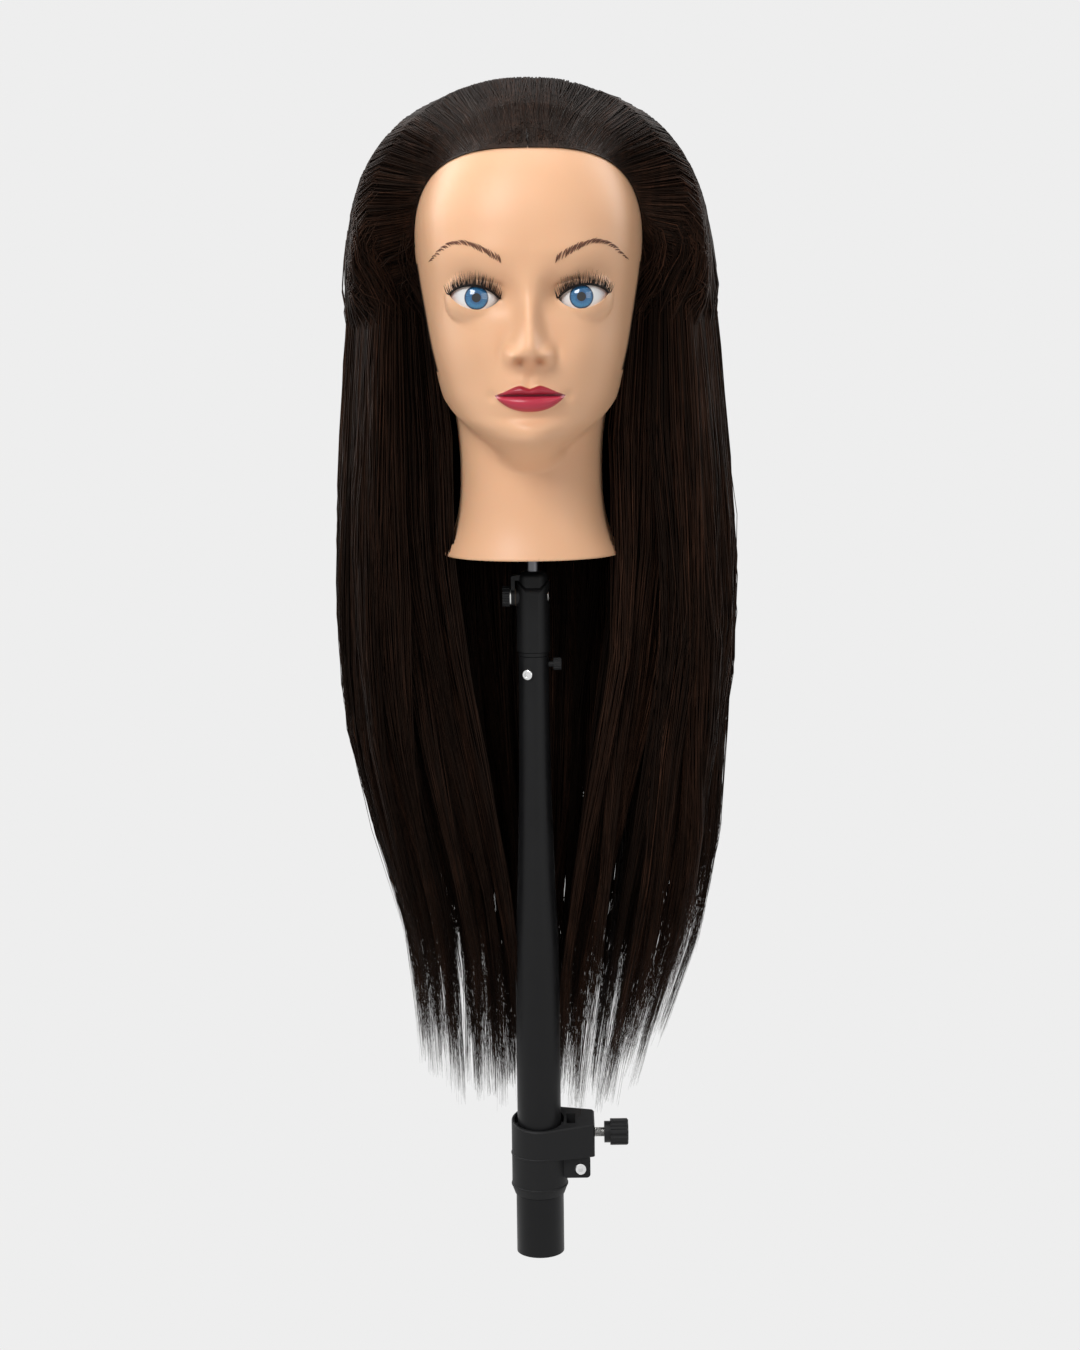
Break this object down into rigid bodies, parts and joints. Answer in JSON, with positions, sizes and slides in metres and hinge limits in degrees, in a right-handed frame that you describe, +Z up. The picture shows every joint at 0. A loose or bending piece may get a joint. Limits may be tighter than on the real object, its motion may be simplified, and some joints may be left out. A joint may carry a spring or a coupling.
{
  "type": "mannequin training head",
  "caption": "Vinyl practice head with long brown hair on a steel peg, with a tilt and swivel fitting, a tapered sliding pole and the clamped end of a stand column.",
  "frame": {"origin": "bottom centre of the column tube, on the pole's axis", "axes": "+Z up the pole to the crown of the head, -Y the way the face looks, +X to the right of someone facing it, where the height thumbscrew is"},
  "size_m": [0.2582, 0.241, 0.754],
  "materials": {
    "black_tube": "satin",
    "black_collar": "matte",
    "grey_nylon": "satin",
    "bright_screw": "polished",
    "zinc_nut": "satin",
    "brass_shoe": "satin",
    "steel_thread": "satin",
    "black_knob": "satin",
    "black_fitting": "satin",
    "fibre_washer": "matte",
    "steel_peg": "satin",
    "vinyl_skin": "satin",
    "foam": "matte",
    "neck_plug": "satin",
    "glass_eye": "gloss",
    "lash_fibre": "satin",
    "brown_hair": "satin"
  },
  "bodies": {
    "column": {"outer_tube": "black_tube", "collar_housing": "black_collar", "collar_bush": "grey_nylon", "collar_clamp_screw": "bright_screw", "collar_clamp_nut": "zinc_nut", "lock_nut": "zinc_nut"},
    "height_shoe": {"lock_shoe": "brass_shoe"},
    "height_screw": {"lock_screw": "steel_thread", "lock_knob": "black_knob"},
    "pole_guide": {"guide_bush": "grey_nylon"},
    "pole": {"inner_tube": "black_tube", "foot_plug": "grey_nylon", "head_insert": "black_fitting", "retaining_screw": "bright_screw"},
    "swivel_brake": {"swivel_pad": "brass_shoe"},
    "swivel_screw": {"swivel_thumbscrew": "black_knob"},
    "swivel": {"swivel_washer": "black_fitting", "spigot": "steel_thread", "swivel_housing": "black_fitting", "tilt_bolt": "steel_thread", "friction_washer": "fibre_washer"},
    "tilt_thrust": {"thrust_washer": "zinc_nut"},
    "tilt_handwheel": {"tilt_knob": "black_knob", "tilt_knob_insert": "brass_shoe"},
    "head": {"tilt_arm": "black_fitting", "peg": "steel_peg", "neck_socket": "neck_plug", "foam_core": "foam", "head_skin": "vinyl_skin", "left_eye": "glass_eye", "right_eye": "glass_eye", "left_lash_strip": "lash_fibre", "right_lash_strip": "lash_fibre", "hair_cap": "brown_hair", "hair_fall_left": "brown_hair", "hair_fall_right": "brown_hair", "hair_fall_back": "brown_hair"}
  },
  "joints": [
    {"name": "lock_press", "type": "slide", "parent": "column", "child": "height_shoe", "axis": [1, 0, 0], "range_m": [0, 0.0015]},
    {"name": "lock_turn", "type": "hinge", "parent": "height_shoe", "child": "height_screw", "pos_m": [0.04, 0, 0.08], "axis": [1, 0, 0], "range_deg": [0, 540.1]},
    {"name": "pole_height", "type": "slide", "parent": "column", "child": "pole_guide", "axis": [0, 0, 1], "range_m": [0, 0.045]},
    {"name": "pole_turn", "type": "hinge", "parent": "pole_guide", "child": "pole", "pos_m": [0, 0, 0.2], "axis": [0, 0, 1], "continuous": true},
    {"name": "swivel_lock_press", "type": "slide", "parent": "pole", "child": "swivel_brake", "axis": [1, 0, 0], "range_m": [0, 0.00105]},
    {"name": "swivel_lock_turn", "type": "hinge", "parent": "swivel_brake", "child": "swivel_screw", "pos_m": [0.012, 0, 0.3896], "axis": [1, 0, 0], "range_deg": [0, 540.1]},
    {"name": "head_swivel", "type": "hinge", "parent": "pole", "child": "swivel", "pos_m": [0, 0, 0.4], "axis": [0, 0, 1], "continuous": true},
    {"name": "tilt_release", "type": "slide", "parent": "swivel", "child": "tilt_thrust", "axis": [-1, 0, 0], "range_m": [0, 0.001]},
    {"name": "tilt_knob_turn", "type": "hinge", "parent": "tilt_thrust", "child": "tilt_handwheel", "pos_m": [-0.018, 0, 0.433], "axis": [-1, 0, 0], "range_deg": [0, 360.1]},
    {"name": "head_tilt", "type": "hinge", "parent": "swivel", "child": "head", "pos_m": [0, 0, 0.433], "axis": [1, 0, 0], "range_deg": [-20, 40], "deforming": ["hair_fall_left", "hair_fall_right", "hair_fall_back"]}
  ],
  "couplings": [
    {"joint": "lock_turn", "follows": "lock_press", "rad_per_m": 6283.2},
    {"joint": "swivel_lock_turn", "follows": "swivel_lock_press", "rad_per_m": 8976},
    {"joint": "tilt_knob_turn", "follows": "tilt_release", "rad_per_m": 6283.2}
  ]
}
